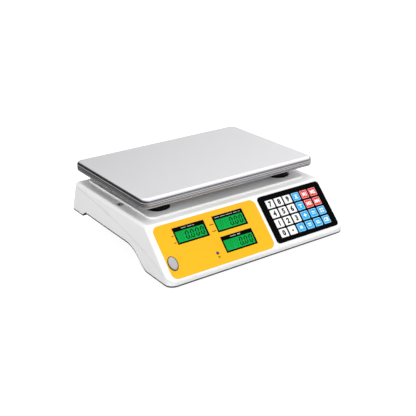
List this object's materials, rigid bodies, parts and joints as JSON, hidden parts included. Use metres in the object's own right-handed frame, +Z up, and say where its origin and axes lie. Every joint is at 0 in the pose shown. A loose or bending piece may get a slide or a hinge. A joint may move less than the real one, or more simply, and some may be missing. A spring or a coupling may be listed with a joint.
{
  "type": "retail price scale",
  "caption": "Counter price scale: stainless platter on a load cell, white housing with a sloped panel of displays and keys, levelling feet and a rear customer display.",
  "frame": {"origin": "on the counter, under the middle of the bounding box", "axes": "+Z up, +X to the operator's right, the operator stands on the -Y side"},
  "size_m": [0.3458, 0.3296, 0.128],
  "materials": {
    "housing_plastic": "fine satin moulded white plastic",
    "base_plastic": "dark grey moulded plastic",
    "label_film": "satin printed yellow film",
    "bezel_plastic": "black moulded plastic",
    "silicone": "soft grey silicone",
    "circuit_board": "green solder mask",
    "lcd_glass": "backlit green display in a black frame",
    "seal_metal": "satin",
    "light_lens": "tinted lens",
    "vial_plastic": "clear vial with tinted liquid",
    "aluminium_bar": "milled",
    "cast_alloy": "as cast",
    "zinc_steel": "zinc plated",
    "support_rubber": "matt black",
    "stainless_sheet": "fine brushed stainless",
    "battery_case": "grey battery case",
    "wire_insulation": "flexible insulation",
    "rocker_plastic": "black moulded plastic",
    "foot_rubber": "matt black",
    "key_white": "satin white key",
    "key_blue": "satin blue key",
    "key_red": "satin red key"
  },
  "bodies": {
    "housing": {"upper_housing": "housing_plastic", "lower_housing": "housing_plastic", "base_plate": "base_plastic", "front_label": "label_film", "keypad_bezel": "bezel_plastic", "keypad_mat": "silicone", "keypad_board": "circuit_board", "weight_display": "lcd_glass", "unit_price_display": "lcd_glass", "total_display": "lcd_glass", "display_board": "circuit_board", "calibration_seal": "seal_metal", "charge_light": "light_lens", "level_vial": "vial_plastic", "load_cell": "aluminium_bar", "base_bracket": "cast_alloy", "base_bolts": "zinc_steel", "overload_stops": "zinc_steel", "main_board": "circuit_board", "battery": "battery_case", "wiring_harness": "wire_insulation", "power_switch_frame": "bezel_plastic", "power_inlet": "bezel_plastic", "rear_display_panel": "bezel_plastic", "rear_displays": "lcd_glass", "rear_display_board": "circuit_board", "housing_screws": "zinc_steel"},
    "load_platform": {"load_receptor": "cast_alloy", "receptor_bolts": "zinc_steel", "platter_supports": "support_rubber"},
    "platter": {"platter": "stainless_sheet"},
    "rocker": {"power_rocker": "rocker_plastic"},
    "front_left_foot": {"front_left_foot": "foot_rubber"},
    "front_right_foot": {"front_right_foot": "foot_rubber"},
    "rear_left_foot": {"rear_left_foot": "foot_rubber"},
    "rear_right_foot": {"rear_right_foot": "foot_rubber"},
    "key_0": {"key_0": "key_white"},
    "key_point": {"key_point": "key_white"},
    "key_change": {"key_change": "key_blue"},
    "key_unit": {"key_unit": "key_blue"},
    "key_light": {"key_light": "key_blue"},
    "key_clear": {"key_clear": "key_blue"},
    "key_1": {"key_1": "key_white"},
    "key_2": {"key_2": "key_white"},
    "key_3": {"key_3": "key_white"},
    "key_plus": {"key_plus": "key_blue"},
    "key_times": {"key_times": "key_blue"},
    "key_total": {"key_total": "key_blue"},
    "key_4": {"key_4": "key_white"},
    "key_5": {"key_5": "key_white"},
    "key_6": {"key_6": "key_white"},
    "key_tare": {"key_tare": "key_blue"},
    "key_m3": {"key_m3": "key_red"},
    "key_m4": {"key_m4": "key_red"},
    "key_7": {"key_7": "key_white"},
    "key_8": {"key_8": "key_white"},
    "key_9": {"key_9": "key_white"},
    "key_zero": {"key_zero": "key_blue"},
    "key_m1": {"key_m1": "key_red"},
    "key_m2": {"key_m2": "key_red"}
  },
  "joints": [
    {"name": "load_deflection", "type": "slide", "parent": "housing", "child": "load_platform", "axis": [0, 0, -1], "range_m": [0, 0.0005], "stiffness_N_per_m": 800000, "deforming": ["load_cell"]},
    {"name": "platter_lift_off", "type": "slide", "parent": "load_platform", "child": "platter", "axis": [0, 0, 1], "range_m": [0, 0.06]},
    {"name": "power_switch_rock", "type": "hinge", "parent": "housing", "child": "rocker", "pos_m": [0.166, 0.045, 0.058], "axis": [0, 0, 1], "range_deg": [0, 16]},
    {"name": "front_left_foot_height", "type": "slide", "parent": "housing", "child": "front_left_foot", "axis": [0, 0, -1], "range_m": [0, 0.01]},
    {"name": "front_right_foot_height", "type": "slide", "parent": "housing", "child": "front_right_foot", "axis": [0, 0, -1], "range_m": [0, 0.01]},
    {"name": "rear_left_foot_height", "type": "slide", "parent": "housing", "child": "rear_left_foot", "axis": [0, 0, -1], "range_m": [0, 0.01]},
    {"name": "rear_right_foot_height", "type": "slide", "parent": "housing", "child": "rear_right_foot", "axis": [0, 0, -1], "range_m": [0, 0.01]},
    {"name": "key_0_press", "type": "slide", "parent": "housing", "child": "key_0", "axis": [0, 0.7206, -0.6934], "range_m": [0, 0.0008], "stiffness_N_per_m": 800},
    {"name": "key_point_press", "type": "slide", "parent": "housing", "child": "key_point", "axis": [0, 0.7206, -0.6934], "range_m": [0, 0.0008], "stiffness_N_per_m": 800},
    {"name": "key_change_press", "type": "slide", "parent": "housing", "child": "key_change", "axis": [0, 0.7206, -0.6934], "range_m": [0, 0.0008], "stiffness_N_per_m": 800},
    {"name": "key_unit_press", "type": "slide", "parent": "housing", "child": "key_unit", "axis": [0, 0.7206, -0.6934], "range_m": [0, 0.0008], "stiffness_N_per_m": 800},
    {"name": "key_light_press", "type": "slide", "parent": "housing", "child": "key_light", "axis": [0, 0.7206, -0.6934], "range_m": [0, 0.0008], "stiffness_N_per_m": 800},
    {"name": "key_clear_press", "type": "slide", "parent": "housing", "child": "key_clear", "axis": [0, 0.7206, -0.6934], "range_m": [0, 0.0008], "stiffness_N_per_m": 800},
    {"name": "key_1_press", "type": "slide", "parent": "housing", "child": "key_1", "axis": [0, 0.7206, -0.6934], "range_m": [0, 0.0008], "stiffness_N_per_m": 800},
    {"name": "key_2_press", "type": "slide", "parent": "housing", "child": "key_2", "axis": [0, 0.7206, -0.6934], "range_m": [0, 0.0008], "stiffness_N_per_m": 800},
    {"name": "key_3_press", "type": "slide", "parent": "housing", "child": "key_3", "axis": [0, 0.7206, -0.6934], "range_m": [0, 0.0008], "stiffness_N_per_m": 800},
    {"name": "key_plus_press", "type": "slide", "parent": "housing", "child": "key_plus", "axis": [0, 0.7206, -0.6934], "range_m": [0, 0.0008], "stiffness_N_per_m": 800},
    {"name": "key_times_press", "type": "slide", "parent": "housing", "child": "key_times", "axis": [0, 0.7206, -0.6934], "range_m": [0, 0.0008], "stiffness_N_per_m": 800},
    {"name": "key_total_press", "type": "slide", "parent": "housing", "child": "key_total", "axis": [0, 0.7206, -0.6934], "range_m": [0, 0.0008], "stiffness_N_per_m": 800},
    {"name": "key_4_press", "type": "slide", "parent": "housing", "child": "key_4", "axis": [0, 0.7206, -0.6934], "range_m": [0, 0.0008], "stiffness_N_per_m": 800},
    {"name": "key_5_press", "type": "slide", "parent": "housing", "child": "key_5", "axis": [0, 0.7206, -0.6934], "range_m": [0, 0.0008], "stiffness_N_per_m": 800},
    {"name": "key_6_press", "type": "slide", "parent": "housing", "child": "key_6", "axis": [0, 0.7206, -0.6934], "range_m": [0, 0.0008], "stiffness_N_per_m": 800},
    {"name": "key_tare_press", "type": "slide", "parent": "housing", "child": "key_tare", "axis": [0, 0.7206, -0.6934], "range_m": [0, 0.0008], "stiffness_N_per_m": 800},
    {"name": "key_m3_press", "type": "slide", "parent": "housing", "child": "key_m3", "axis": [0, 0.7206, -0.6934], "range_m": [0, 0.0008], "stiffness_N_per_m": 800},
    {"name": "key_m4_press", "type": "slide", "parent": "housing", "child": "key_m4", "axis": [0, 0.7206, -0.6934], "range_m": [0, 0.0008], "stiffness_N_per_m": 800},
    {"name": "key_7_press", "type": "slide", "parent": "housing", "child": "key_7", "axis": [0, 0.7206, -0.6934], "range_m": [0, 0.0008], "stiffness_N_per_m": 800},
    {"name": "key_8_press", "type": "slide", "parent": "housing", "child": "key_8", "axis": [0, 0.7206, -0.6934], "range_m": [0, 0.0008], "stiffness_N_per_m": 800},
    {"name": "key_9_press", "type": "slide", "parent": "housing", "child": "key_9", "axis": [0, 0.7206, -0.6934], "range_m": [0, 0.0008], "stiffness_N_per_m": 800},
    {"name": "key_zero_press", "type": "slide", "parent": "housing", "child": "key_zero", "axis": [0, 0.7206, -0.6934], "range_m": [0, 0.0008], "stiffness_N_per_m": 800},
    {"name": "key_m1_press", "type": "slide", "parent": "housing", "child": "key_m1", "axis": [0, 0.7206, -0.6934], "range_m": [0, 0.0008], "stiffness_N_per_m": 800},
    {"name": "key_m2_press", "type": "slide", "parent": "housing", "child": "key_m2", "axis": [0, 0.7206, -0.6934], "range_m": [0, 0.0008], "stiffness_N_per_m": 800}
  ]
}
